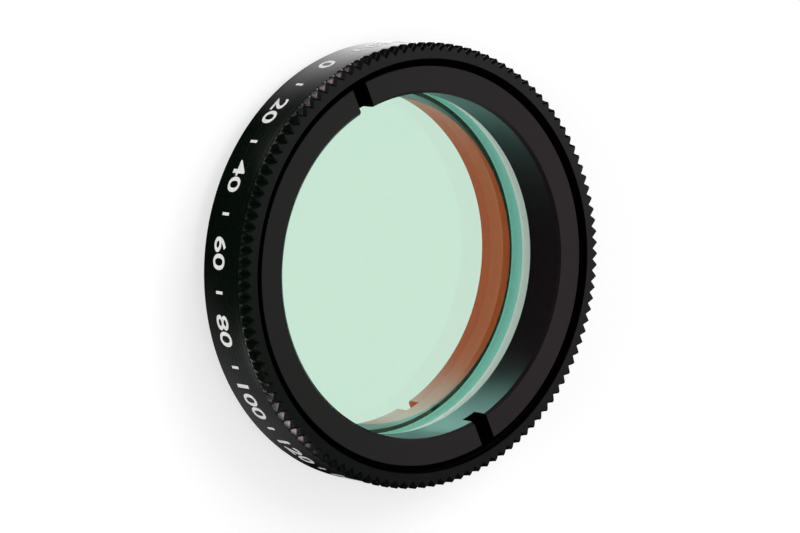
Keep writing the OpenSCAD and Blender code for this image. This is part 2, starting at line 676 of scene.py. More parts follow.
@dataclass(frozen=True)
class Thread:
    """A 60 degree right-hand screw thread, as radii along a helix."""

    crest_r: float
    root_r: float
    pitch: float = 0.6
    # Shares of the pitch that the flat crest and each sloping flank take
    crest_share: float = 0.125
    flank_share: float = 0.337

    @property
    def corners(self) -> tuple[float, ...]:
        """Corners of the form within one pitch, as shares of it, from crest to crest."""
        root = self.crest_share + self.flank_share
        return (0.0, self.crest_share, root, 1 - self.flank_share, 1.0)

    def stations(self, steps: int) -> list[float]:
        """Give the heights within one pitch, as shares of it, at which a row of the mesh runs.

        Args:
            steps: Rows for each of the four sides of the form.

        Returns:
            The shares, from 0 to less than 1.
        """
        sides = zip(self.corners, self.corners[1:])
        return [a + (b - a) * i / steps for a, b in sides for i in range(steps)]

    def radius(self, share: np.ndarray) -> np.ndarray:
        """Give the radius at a share of the pitch.

        Args:
            share: Heights as shares of the pitch, of any size.

        Returns:
            The radii.
        """
        radii = (self.crest_r, self.crest_r, self.root_r, self.root_r, self.crest_r)
        return np.interp(share % 1.0, self.corners, radii)

    def edge(self, angles: np.ndarray, z: float) -> np.ndarray:
        """Give the radius all round at one height.

        Args:
            angles: Angles of the mesh's columns.
            z: The height.

        Returns:
            The radii.
        """
        return self.radius(z / self.pitch - angles / TAU)

    def rows(
        self, angles: np.ndarray, low: float, high: float, steps: int
    ) -> tuple[np.ndarray, np.ndarray, int]:
        """Give rows of vertices that follow the helix between two heights.

        Args:
            angles: Angles of the mesh's columns.
            low: Lowest height.
            high: Highest height.
            steps: Rows for each side of the thread form.

        Returns:
            Radii and heights as rows by columns, and the number of rows in one turn.
        """
        shares = self.stations(steps)
        first = math.floor(low / self.pitch) - 1
        last = math.ceil(high / self.pitch) + 1
        turns = np.array([k + s for k in range(first, last) for s in shares])
        z = self.pitch * (turns[:, None] + angles[None, :] / TAU)
        r = np.repeat(self.radius(turns)[:, None], len(angles), axis=1)
        r = np.where(z < low, self.edge(angles, low)[None, :], r)
        r = np.where(z > high, self.edge(angles, high)[None, :], r)
        return r, np.clip(z, low, high), len(shares)


class TurnedMesh:
    """A closed turned shape, gathered strip by strip round the axis."""

    def __init__(self) -> None:
        """Start with no strips."""
        self.points: list[np.ndarray] = []
        self.faces: list[tuple[int, ...]] = []
        self.marks: list[int] = []
        self.count = 0

    def _add(self, r: np.ndarray, z: np.ndarray, angles: np.ndarray) -> int:
        """Add rows of vertices.

        Args:
            r: Radii, rows by columns.
            z: Heights, rows by columns.
            angles: Angles of the columns, as one row.

        Returns:
            The number of the first vertex.
        """
        first = self.count
        xyz = np.stack([r * np.cos(angles), r * np.sin(angles), z], axis=-1)
        self.points.append(xyz.reshape(-1, 3))
        self.count += xyz.shape[0] * xyz.shape[1]
        return first

    def strip(
        self, angles: np.ndarray, outline: list[tuple[Radius, float]], mark: int = 0
    ) -> None:
        """Add a strip that is turned from an outline.

        Args:
            angles: Angles of the columns.
            outline: Radius, or radii all round, and height of each row.
            mark: Material index.
        """
        r = np.array([np.broadcast_to(row[0], angles.shape) for row in outline], float)
        z = np.array([np.full(angles.shape, row[1]) for row in outline], float)
        self.grid(angles, r, z, 0, mark)

    def grid(
        self, angles: np.ndarray, r: np.ndarray, z: np.ndarray, turn: int, mark: int = 0
    ) -> None:
        """Add rows of quads that close round the axis.

        Args:
            angles: Angles of the columns.
            r: Radii, rows by columns.
            z: Heights, rows by columns.
            turn: How many rows a row climbs in one turn.
            mark: Material index.
        """
        first = self._add(r, z, angles[None, :])
        rows, cols = r.shape
        for j in range(rows - 1):
            for i in range(cols):
                k, up = (i + 1, 0) if i + 1 < cols else (0, turn)
                a, b = j, j + 1
                c, d = min(b + up, rows - 1), min(a + up, rows - 1)
                self.faces.append((
                    first + a * cols + i, first + b * cols + i,
                    first + c * cols + k, first + d * cols + k,
                ))
                self.marks.append(mark)

    def stitch(
        self, fine: np.ndarray, fine_row: tuple[Radius, float], coarse_row: tuple[float, float]
    ) -> None:
        """Join a row of all columns to a row of every second column.

        Args:
            fine: Angles of all the columns.
            fine_row: Radius and height of the row with all columns.
            coarse_row: Radius and height of the row with half of them.
        """
        r = np.broadcast_to(fine_row[0], fine.shape)[None, :]
        a = self._add(np.array(r, float), np.full((1, len(fine)), fine_row[1]), fine[None, :])
        half = fine[::2]
        b = self._add(
            np.full((1, len(half)), coarse_row[0]), np.full((1, len(half)), coarse_row[1]),
            half[None, :],
        )
        for i in range(len(half)):
            k = (i + 1) % len(half)
            self.faces.append((b + i, a + 2 * i, a + 2 * i + 1, a + 2 * k, b + k))
            self.marks.append(0)

    def build(self, name: str) -> bpy.types.Object:
        """Make the object, with doubles merged and its faces pointing outwards.

        Args:
            name: The object's name.

        Returns:
            The object, at the origin, in the scene.
        """
        mesh = bpy.data.meshes.new(name)
        mesh.from_pydata(np.concatenate(self.points) * MM, [], self.faces)
        mesh.polygons.foreach_set("material_index", self.marks)
        shape = bmesh.new()
        shape.from_mesh(mesh)
        bmesh.ops.remove_doubles(shape, verts=shape.verts, dist=MERGE)
        bmesh.ops.dissolve_degenerate(shape, dist=MERGE, edges=shape.edges)
        bmesh.ops.recalc_face_normals(shape, faces=shape.faces)
        shape.to_mesh(mesh)
        shape.free()
        made = bpy.data.objects.new(name, mesh)
        bpy.context.scene.collection.objects.link(made)
        return made


def crisp_edges(piece: bpy.types.Object) -> None:
    """Shade a piece smooth, apart from its sharp edges.

    Args:
        piece: A mesh object.
    """
    shape = bmesh.new()
    shape.from_mesh(piece.data)
    limit = math.radians(CRISP_DEG)
    for face in shape.faces:
        face.smooth = True
    for edge in shape.edges:
        edge.smooth = len(edge.link_faces) == 2 and edge.calc_face_angle(math.pi) < limit
    shape.to_mesh(piece.data)
    shape.free()


def report(piece: bpy.types.Object) -> None:
    """Log a finished piece with its triangles and its open edges.

    Args:
        piece: A mesh object.
    """
    shape = bmesh.new()
    shape.from_mesh(piece.data)
    open_edges = sum(1 for edge in shape.edges if len(edge.link_faces) != 2)
    volume = shape.calc_volume(signed=True) / MM ** 3
    shape.free()
    piece.data.calc_loop_triangles()
    log.info(
        "%s: %d triangles, %d open edges, %.1f mm3",
        piece.name, len(piece.data.loop_triangles), open_edges, volume,
    )


def bake(piece: bpy.types.Object, modifier: bpy.types.Modifier) -> bpy.types.Object:
    """Turn what a Geometry Nodes modifier makes into the object's plain mesh.

    Args:
        piece: The object.
        modifier: Its modifier, which is removed.

    Returns:
        The same object.
    """
    graph = bpy.context.evaluated_depsgraph_get()
    mesh = bpy.data.meshes.new_from_object(piece.evaluated_get(graph))
    piece.modifiers.remove(modifier)
    piece.data = mesh
    return piece


def set_inputs(
    modifier: bpy.types.Modifier, tree: bpy.types.NodeTree, values: dict[str, Any]
) -> None:
    """Set a modifier's inputs by their sockets' identifiers.

    Args:
        modifier: A Geometry Nodes modifier.
        tree: Its tree.
        values: A value for each input's name.
    """
    for socket in tree.interface.items_tree:
        if socket.in_out == "INPUT" and socket.name in values:
            modifier[socket.identifier] = values[socket.name]


class KnurlTree:
    """Geometry Nodes that press straight V grooves with a round run-out into a turned rim."""

    SIZES = (
        "Teeth", "Flank", "Groove radius", "Run-out top", "Run-out", "Run-out power", "Rise",
        "Bevel start", "Bevel slope", "Bevel fade", "Full press",
    )
    # Each step is one Math node: its name, its operation and what it takes, which is a size,
    # the name of an earlier step or a number
    STEPS = (
        # How far round the axis a point lies from the middle of its groove
        ("angle", "ARCTAN2", "y", "x"),
        ("teeth passed", "MULTIPLY", "angle", "Teeth"),
        ("turns", "DIVIDE", "teeth passed", TAU),
        ("in tooth", "FRACT", "turns", 0.0),
        ("from groove", "SUBTRACT", "in tooth", 0.5),
        ("share off", "ABSOLUTE", "from groove", 0.0),
        ("arc off", "MULTIPLY", "share off", TAU),
        ("off", "DIVIDE", "arc off", "Teeth"),
        # The groove's bottom line: it rises to the barrel on a round run-out, and falls with
        # the bevel at the front
        ("below top", "SUBTRACT", "Run-out top", "z"),
        ("along", "DIVIDE", "below top", "Run-out"),
        ("started", "MAXIMUM", "along", 0.0),
        # Past twice its length the run-out is far outside the barrel, so it climbs no further
        ("held", "MINIMUM", "started", 2.0),
        ("round", "POWER", "held", "Run-out power"),
        ("rise", "MULTIPLY", "round", "Rise"),
        ("past bevel", "SUBTRACT", "z", "Bevel start"),
        ("in bevel", "MAXIMUM", "past bevel", 0.0),
        ("drop", "MULTIPLY", "in bevel", "Bevel slope"),
        ("lifted", "ADD", "Groove radius", "rise"),
        ("bottom", "SUBTRACT", "lifted", "drop"),
        # The radius of the groove's wall at that point
        ("cosine", "COSINE", "off", 0.0),
        ("sine", "SINE", "off", 0.0),
        ("opening", "MULTIPLY", "Flank", "cosine"),
        ("spread", "SUBTRACT", "opening", "sine"),
        ("reach", "MULTIPLY", "Flank", "bottom"),
        ("wall", "DIVIDE", "reach", "spread"),
        ("ratio", "DIVIDE", "wall", "radius"),
        ("share", "MINIMUM", "ratio", 1.0),
        # The depth that the finish goes by, which fades out in the bevel
        ("pressed", "SUBTRACT", 1.0, "share"),
        ("full", "DIVIDE", "pressed", "Full press"),
        ("faded", "DIVIDE", "in bevel", "Bevel fade"),
        ("kept", "SUBTRACT", 1.0, "faded"),
        ("held on", "MAXIMUM", "kept", 0.0),
        ("depth", "MULTIPLY", "full", "held on"),
    )

    def build(self) -> bpy.types.NodeTree:
        """Build the tree.

        Returns:
            The tree, with a named input for each size.
        """
        tree = bpy.data.node_groups.new("straight_knurl", "GeometryNodeTree")
        face = tree.interface
        face.new_socket("Geometry", in_out="INPUT", socket_type="NodeSocketGeometry")
        face.new_socket("Geometry", in_out="OUTPUT", socket_type="NodeSocketGeometry")
        for name in self.SIZES:
            face.new_socket(name, in_out="INPUT", socket_type="NodeSocketFloat")
        face.new_socket("Material", in_out="INPUT", socket_type="NodeSocketMaterial")
        given = add_node(tree, "NodeGroupInput").outputs

        place = add_node(tree, "GeometryNodeInputPosition").outputs[0]
        split = add_node(tree, "ShaderNodeSeparateXYZ", {0: place}).outputs
        flat = add_node(
            tree, "ShaderNodeVectorMath", {0: place, 1: (1.0, 1.0, 0.0)}, operation="MULTIPLY"
        )
        radius = add_node(
            tree, "ShaderNodeVectorMath", {0: flat.outputs[0]}, operation="LENGTH"
        )
        known = {name: given[name] for name in self.SIZES}
        known.update(x=split[0], y=split[1], z=split[2], radius=radius.outputs["Value"])
        for name, operation, first, second in self.STEPS:
            step = add_node(
                tree, "ShaderNodeMath",
                {0: known.get(first, first), 1: known.get(second, second)}, operation=operation,
            )
            known[name] = step.outputs[0]

        scale = add_node(
            tree, "ShaderNodeCombineXYZ", {0: known["share"], 1: known["share"], 2: 1.0}
        )
        moved = add_node(
            tree, "ShaderNodeVectorMath", {0: place, 1: scale.outputs[0]}, operation="MULTIPLY"
        )
        marked = add_node(
            tree, "GeometryNodeStoreNamedAttribute",
            {"Geometry": given["Geometry"], "Name": CUT, "Value": known["depth"]},
            data_type="FLOAT",
        )
        cut = add_node(
            tree, "GeometryNodeSetPosition",
            {"Geometry": marked.outputs[0], "Position": moved.outputs[0]},
        )
        real = add_node(tree, "GeometryNodeRealizeInstances", {0: cut.outputs[0]})
        dressed = add_node(
            tree, "GeometryNodeSetMaterial",
            {"Geometry": real.outputs[0], "Material": given["Material"]},
        )
        add_node(tree, "NodeGroupOutput", {0: dressed.outputs[0]})
        return tree


@dataclass
class FilterCell:
    """The knurled cell: male thread behind, smooth barrel, knurled rim, threaded front bore."""

    finish: bpy.types.Material
    # Black anodised like the rest, but darker and almost without sheen: painted shade in the
    # threaded bore
    recess_shade_finish: bpy.types.Material
    outer_r: float
    height: float
    # Rear stop with the ledge that carries the glass, pocket of the glass and shoulder round it
    stop_r: float = 11.13
    seat_t: float = 0.5
    pocket_r: float = 12.1
    shoulder_z: float = 2.4
    # Filter thread, male behind and female in front
    thread_r: float = 14.25
    thread_depth: float = 0.35
    rear_thread_h: float = 1.2
    thread_lead: float = 0.35
    relief_w: float = 0.25
    barrel_step: float = 0.1
    barrel_chamfer: float = 0.1
    edge_break: float = 0.04
    # How far the front thread stops short of the shoulder and of the front face
    thread_stop: float = 0.3
    teeth: int = 120
    knurl_h: float = 0.05
    knurl_depth: float = 0.38
    knurl_land: float = 0.04
    runout: float = 0.55
    # The run-out climbs as this power of the way along it
    runout_power: float = 1.5
    runout_rows: int = 5
    tip_start: float = 0.06
    bevel_h: float = 0.25
    bevel_drop: float = 0.2
    bevel_rows: int = 4
    # Length of the bevel in which the finish of the grooves fades out
    bevel_fade: float = 0.08
    # The barrel has a row of vertices this far below the grooves
    row_below: float = 0.1
    # Columns of the mesh in one tooth, as shares of it, with the tip at 0 and the groove at 0.5
    columns: tuple[float, ...] = (
        0.0, 0.0255, 0.105, 0.205, 0.305, 0.405, 0.5, 0.595, 0.695, 0.795, 0.895, 0.9745
    )
    # Play between the glass and its ledge, so that their faces don't coincide
    seat_gap: float = 0.02
    # A face looks inwards where its normal points to the axis by more than this
    inward_normal: float = 0.2

    @property
    def barrel_r(self) -> float:
        """Radius of the smooth barrel."""
        return self.outer_r - self.barrel_step

    @property
    def mouth_r(self) -> float:
        """Radius of the front bore, at the crests of its thread."""
        return self.thread_r - self.thread_depth

    @property
    def band_z(self) -> float:
        """Height at which the grooves of the knurl end."""
        return self.height - self.bevel_h - self.knurl_h - self.runout

    def angles(self) -> np.ndarray:
        """Angles of all the columns of the mesh."""
        teeth = np.arange(self.teeth)[:, None] + np.array(self.columns)[None, :]
        return teeth.ravel() * TAU / self.teeth

    def front_thread(self) -> Thread:
        """The female thread in front, whose crests point inwards."""
        return Thread(crest_r=self.mouth_r, root_r=self.thread_r)

    def rim_outline(self) -> list[tuple[float, float]]:
        """Give the outline of the barrel and the rim before the knurl is cut.

        Returns:
            Radius and height of each row, from the foot of the barrel to the front face.
        """
        top, band = self.height, self.band_z
        low = band + self.tip_start
        high = low + self.barrel_step
        run = band + self.runout
        bevel = top - self.bevel_h
        outline = [
            (self.barrel_r - self.barrel_chamfer, self.rear_thread_h),
            (self.barrel_r, self.rear_thread_h + self.barrel_chamfer),
            (self.barrel_r, band - self.row_below),
            (self.barrel_r, band),
            (self.barrel_r, (band + low) / 2),
            (self.barrel_r, low),
            ((self.barrel_r + self.outer_r) / 2, (low + high) / 2),
            (self.outer_r, high),
        ]
        rows = self.runout_rows
        outline += [(self.outer_r, high + (run - high) * i / rows) for i in range(1, rows + 1)]
        outline += [(self.outer_r, (run + bevel) / 2), (self.outer_r, bevel)]
        rows = self.bevel_rows
        outline += [
            (self.outer_r - self.bevel_drop * i / rows, bevel + self.bevel_h * i / rows)
            for i in range(1, rows + 1)
        ]
        return outline

    def blank(self) -> bpy.types.Object:
        """Build the turned cell with both threads, before the knurl is cut.

        Returns:
            The object.
        """
        fine = self.angles()
        half = fine[::2]
        made = TurnedMesh()
        top = self.height
        inner_rim = self.mouth_r + self.edge_break
        foot = (inner_rim, self.rear_thread_h)
        male = Thread(crest_r=self.thread_r, root_r=self.mouth_r)
        thread_top = self.rear_thread_h - self.relief_w
        r, z, turn = male.rows(half, 0.0, thread_top, 2)
        r = np.minimum(r, self.thread_r - self.thread_lead + z)
        made.strip(half, [(self.stop_r + self.edge_break, 0.0), (r[0], 0.0)])
        made.grid(half, r, z, turn)
        made.strip(half, [
            (r[-1], thread_top), (self.mouth_r, thread_top), (self.mouth_r, self.rear_thread_h),
            foot,
        ])
        rim = self.rim_outline()
        made.stitch(fine, rim[0], foot)
        flat = self.outer_r - self.knurl_depth - self.bevel_drop - self.edge_break
        made.strip(fine, rim + [(flat, top)])
        made.stitch(fine, (flat, top), (inner_rim, top))

        front = self.front_thread()
        low, high = self.shoulder_z + self.thread_stop, top - self.thread_stop
        r, z, turn = front.rows(half, low, high, 1)
        made.strip(half, [
            (inner_rim, top), (self.mouth_r, top - self.edge_break), (self.mouth_r, high),
            (r[-1], high),
        ])
        made.grid(half, r, z, turn)
        seat = self.seat_t - self.seat_gap
        made.strip(half, [
            (r[0], low), (self.mouth_r, low), (self.mouth_r, self.shoulder_z),
            (self.pocket_r, self.shoulder_z), (self.pocket_r, seat), (self.stop_r, seat),
            (self.stop_r, self.edge_break), (self.stop_r + self.edge_break, 0.0),
        ])
        return made.build(Part.CELL.piece_name)

    def build(self) -> bpy.types.Object:
        """Build the cell, cut its knurl and dress it.

        Returns:
            The finished piece.
        """
        piece = self.blank()
        tree = KnurlTree().build()
        knurl = piece.modifiers.new("knurl", "NODES")
        knurl.node_group = tree
        groove = self.outer_r - self.knurl_depth
        set_inputs(knurl, tree, {
            "Teeth": float(self.teeth),
            "Flank": (TAU * self.outer_r / self.teeth - self.knurl_land) / 2 / self.knurl_depth,
            "Groove radius": groove * MM,
            "Run-out top": (self.band_z + self.runout) * MM,
            "Run-out": self.runout * MM,
            "Run-out power": self.runout_power,
            "Rise": (self.barrel_r - groove) * MM,
            "Bevel start": (self.height - self.bevel_h) * MM,
            "Bevel slope": self.bevel_drop / self.bevel_h,
            "Bevel fade": self.bevel_fade * MM,
            "Full press": self.knurl_depth / self.outer_r,
            "Material": self.finish,
        })
        bake(piece, knurl)
        self.shade_bore(piece.data)
        crisp_edges(piece)
        return piece

    def shade_bore(self, mesh: bpy.types.Mesh) -> None:
        """Give the threaded bore the darker finish without sheen, which paints the shade of that
        recess.

        Args:
            mesh: The cell's mesh, in metres.
        """
        mesh.materials.append(self.recess_shade_finish)
        bore = (self.thread_r + self.edge_break) * MM
        for face in mesh.polygons:
            x, y, z = face.center
            radius = math.hypot(x, y)
            outwards = face.normal.x * x + face.normal.y * y
            inwards = outwards < -self.inward_normal * radius
            if inwards and radius < bore and z > self.shoulder_z * MM:
                face.material_index = 1


@dataclass
class RetainingRing:
    """The threaded ring that clamps the glass, with two slots for a spanner."""

    finish: bpy.types.Material
    shade: bpy.types.Material
    foot_z: float
    face_z: float
    bore_r: float = 11.62
    neck_r: float = 13.44
    neck_h: float = 0.9
    bore_chamfer: float = 0.2
    foot_chamfer: float = 0.15
    clearance: float = 0.04
    edge_break: float = 0.03
    slot_w: float = 1.15
    slot_depth: float = 1.25
    # How far the bar that cuts the slots reaches past the thread
    slot_overrun: float = 1.0
    # The dark finish of the slots, painted shade, starts this far below the ring's face and behind
    # its bore
    shade_below: float = 0.1
    shade_behind: float = 0.01
    # Play between the ring and the glass, so that their faces don't coincide
    foot_gap: float = 0.02
    columns: int = 720

    def body(self, thread: Thread) -> bpy.types.Object:
        """Build the turned ring.

        Args:
            thread: The cell's thread that the ring turns in.

        Returns:
            The ring, without its slots.
        """
        angles = np.arange(self.columns) * TAU / self.columns
        fitted = Thread(
            crest_r=thread.crest_r - self.clearance, root_r=thread.root_r - self.clearance
        )
        foot = self.foot_z + self.foot_gap
        low, high = foot + self.foot_chamfer, self.face_z - self.neck_h
        r, z, turn = fitted.rows(angles, low, high, 1)
        made = TurnedMesh()
        made.strip(angles, [
            (self.bore_r, foot), (fitted.crest_r - self.foot_chamfer, foot),
            (fitted.crest_r, low), (r[0], low),
        ])
        made.grid(angles, r, z, turn)
        made.strip(angles, [
            (r[-1], high), (self.neck_r, high), (self.neck_r, self.face_z - self.edge_break),
            (self.neck_r - self.edge_break, self.face_z),
            (self.bore_r + self.bore_chamfer, self.face_z),
            (self.bore_r, self.face_z - self.bore_chamfer), (self.bore_r, foot),
        ])
        return made.build(Part.RING.piece_name)

    def build(self, thread: Thread) -> bpy.types.Object:
        """Build the ring, cut its slots and dress it.

        Args:
            thread: The cell's thread that the ring turns in.

        Returns:
            The finished piece.
        """
        piece = self.body(thread)
        reach = thread.root_r + self.slot_overrun
        bar = bmesh.new()
        bmesh.ops.create_cube(bar, size=1.0)
        size = Vector((2 * reach, self.slot_w, 2 * self.slot_depth)) * MM
        place = Matrix.Translation((0, 0, self.face_z * MM)) @ Matrix.Diagonal((*size, 1.0))
        bar.transform(place)
        mesh = bpy.data.meshes.new("slot_bar")
        bar.to_mesh(mesh)
        bar.free()
        cutter = bpy.data.objects.new("slot_bar", mesh)
        bpy.context.scene.collection.objects.link(cutter)
        slots = piece.modifiers.new("slots", "BOOLEAN")
        slots.operation = "DIFFERENCE"
        slots.solver = "EXACT"
        slots.object = cutter
        bake(piece, slots)
        bpy.data.objects.remove(cutter)
        piece.data.materials.clear()
        # The slots and the neck take the second finish, painted shade
        for finish in (self.finish, self.shade):
            piece.data.materials.append(finish)
        for face in piece.data.polygons:
            x, y, z = face.center / MM
            radius = math.hypot(x, y)
            across = abs(y) < self.slot_w / 2 + self.edge_break
            below = z < self.face_z - self.shade_below
            in_slot = across and below and radius > self.bore_r + self.shade_behind
            in_neck = radius > self.neck_r - self.edge_break / 2
            face.material_index = int(in_slot or in_neck)
        crisp_edges(piece)
        return piece


@dataclass
class FilterGlass:
    """The glass disc: polished in front, coated behind, ground round its rim."""

    front: bpy.types.Material
    coating: bpy.types.Material
    edge: bpy.types.Material
    radius: float
    low_z: float
    high_z: float
    bevel: float = 0.1
    columns: int = 720

    def build(self) -> bpy.types.Object:
        """Build the disc and dress its faces.

        Returns:
            The finished piece.
        """
        angles = np.arange(self.columns) * TAU / self.columns
        made = TurnedMesh()
        flat = self.radius - self.bevel
        made.strip(angles, [(0.0, self.low_z), (flat, self.low_z)], GlassFace.REAR.value)
        made.strip(angles, [
            (flat, self.low_z), (self.radius, self.low_z + self.bevel),
            (self.radius, self.high_z - self.bevel), (flat, self.high_z),
        ], GlassFace.EDGE.value)
        made.strip(angles, [(flat, self.high_z), (0.0, self.high_z)], GlassFace.FRONT.value)
        piece = made.build(Part.GLASS.piece_name)
        for finish in (self.front, self.coating, self.edge):
            piece.data.materials.append(finish)
        crisp_edges(piece)
        return piece


class TickTree:
    """Geometry Nodes that stand a short bar at equal steps round the barrel."""

    def build(self) -> bpy.types.NodeTree:
        """Build the tree.

        Returns:
            The tree, with a named input for each size.
        """
        tree = bpy.data.node_groups.new("scale_ticks", "GeometryNodeTree")
        face = tree.interface
        face.new_socket("Geometry", in_out="INPUT", socket_type="NodeSocketGeometry")
        face.new_socket("Geometry", in_out="OUTPUT", socket_type="NodeSocketGeometry")
        face.new_socket("Count", in_out="INPUT", socket_type="NodeSocketInt")
        for name in ("Radius", "Height", "Length", "Width", "Thickness", "First angle"):
            face.new_socket(name, in_out="INPUT", socket_type="NodeSocketFloat")
        face.new_socket("Material", in_out="INPUT", socket_type="NodeSocketMaterial")
        given = add_node(tree, "NodeGroupInput").outputs
        circle = add_node(
            tree, "GeometryNodeMeshCircle",
            {"Vertices": given["Count"], "Radius": given["Radius"]},
        )
        turned = add_node(tree, "ShaderNodeCombineXYZ", {2: given["First angle"]})
        lifted = add_node(tree, "ShaderNodeCombineXYZ", {2: given["Height"]})
        placed = add_node(
            tree, "GeometryNodeTransform",
            {"Geometry": circle.outputs[0], "Translation": lifted.outputs[0],
             "Rotation": turned.outputs[0]},
        )
        size = add_node(
            tree, "ShaderNodeCombineXYZ",
            {0: given["Thickness"], 1: given["Width"], 2: given["Length"]},
        )
        bar = add_node(tree, "GeometryNodeMeshCube", {"Size": size.outputs[0]})
        place = add_node(tree, "GeometryNodeInputPosition").outputs[0]
        outwards = add_node(
            tree, "ShaderNodeVectorMath", {0: place, 1: (1.0, 1.0, 0.0)}, operation="MULTIPLY"
        )
        facing = add_node(
            tree, "FunctionNodeAlignRotationToVector", {"Vector": outwards.outputs[0]},
            axis="X", pivot_axis="Z",
        )
        stood = add_node(
            tree, "GeometryNodeInstanceOnPoints",
            {"Points": placed.outputs[0], "Instance": bar.outputs[0],
             "Rotation": facing.outputs[0]},
        )
        real = add_node(tree, "GeometryNodeRealizeInstances", {0: stood.outputs[0]})
        dressed = add_node(
            tree, "GeometryNodeSetMaterial",
            {"Geometry": real.outputs[0], "Material": given["Material"]},
        )
        add_node(tree, "NodeGroupOutput", {0: dressed.outputs[0]})
        return tree


@dataclass
class PrintedScale:
    """A plain white degree scale round the barrel: numbers, with a short bar between them."""

    ink: bpy.types.Material
    barrel_r: float
    name: str = "scale_print"
    # Height of the numbers' feet, and of the numbers
    base_z: float = 2.38
    digit_h: float = 1.27
    # Blender's built-in font has capitals about this share of its size
    capital_share: float = 0.73
    # The numbers are wider than the font's, by this factor, and bolder, by this outset
    widen: float = 1.32
    embolden: float = 0.022
    curve_steps: int = 6
    # Vertices of the thin film closer than this are one vertex, in metres
    merge: float = 1e-7
    # The film runs from just inside the barrel's surface to just outside it
    film_low: float = -0.01
    film_high: float = 0.02
    step_deg: int = 20
    tick_w: float = 0.2
    tick_h: float = 0.7
    parts: list[bpy.types.Object] = field(default_factory=list)

    def number(self, degrees: int) -> None:
        """Print one number at its own angle.

        Args:
            degrees: The number, and its angle from the X axis.
        """
        digits = bpy.data.curves.new("number", "FONT")
        digits.body = str(degrees)
        digits.align_x = "CENTER"
        digits.size = self.digit_h / self.capital_share
        digits.offset = self.embolden
        digits.extrude = (self.film_high - self.film_low) / 2
        digits.resolution_u = self.curve_steps
        typed = bpy.data.objects.new("number", digits)
        bpy.context.scene.collection.objects.link(typed)
        graph = bpy.context.evaluated_depsgraph_get()
        mesh = bpy.data.meshes.new_from_object(typed.evaluated_get(graph))
        bpy.data.objects.remove(typed)
        flat = np.zeros(len(mesh.vertices) * 3)
        mesh.vertices.foreach_get("co", flat)
        flat = flat.reshape(-1, 3)
        angle = math.radians(degrees) + flat[:, 0] * self.widen / self.barrel_r
        r = self.barrel_r + (self.film_high + self.film_low) / 2 + flat[:, 2]
        bent = np.stack(
            [r * np.cos(angle), r * np.sin(angle), self.base_z + flat[:, 1]], axis=1
        ) * MM
        mesh.vertices.foreach_set("co", bent.ravel())
        mesh.materials.clear()
        mesh.materials.append(self.ink)
        made = bpy.data.objects.new("number", mesh)
        bpy.context.scene.collection.objects.link(made)
        self.parts.append(made)

    def ticks(self) -> None:
        """Print the short bars half-way between the numbers."""
        made = bpy.data.objects.new("ticks", bpy.data.meshes.new("ticks"))
        bpy.context.scene.collection.objects.link(made)
        tree = TickTree().build()
        bars = made.modifiers.new("bars", "NODES")
        bars.node_group = tree
        set_inputs(bars, tree, {
            "Count": 360 // self.step_deg,
            "Radius": (self.barrel_r + (self.film_high + self.film_low) / 2) * MM,
            "Height": (self.base_z + self.digit_h / 2) * MM,
            "Length": self.tick_h * MM,
            "Width": self.tick_w * MM,
            "Thickness": (self.film_high - self.film_low) * MM,
            "First angle": math.radians(self.step_deg / 2),
            "Material": self.ink,
        })
        self.parts.append(bake(made, bars))

    def build(self) -> bpy.types.Object:
        """Print the whole scale as one piece.

        Returns:
            The finished piece.
        """
        for degrees in range(0, 360, self.step_deg):
            self.number(degrees)
        self.ticks()
        whole = bmesh.new()
        for part in self.parts:
            whole.from_mesh(part.data)
        bmesh.ops.remove_doubles(whole, verts=whole.verts, dist=self.merge)
        bmesh.ops.recalc_face_normals(whole, faces=whole.faces)
        mesh = bpy.data.meshes.new(self.name)
        whole.to_mesh(mesh)
        whole.free()
        mesh.materials.append(self.ink)
        for part in self.parts:
            bpy.data.objects.remove(part)
        piece = bpy.data.objects.new(self.name, mesh)
        bpy.context.scene.collection.objects.link(piece)
        return piece


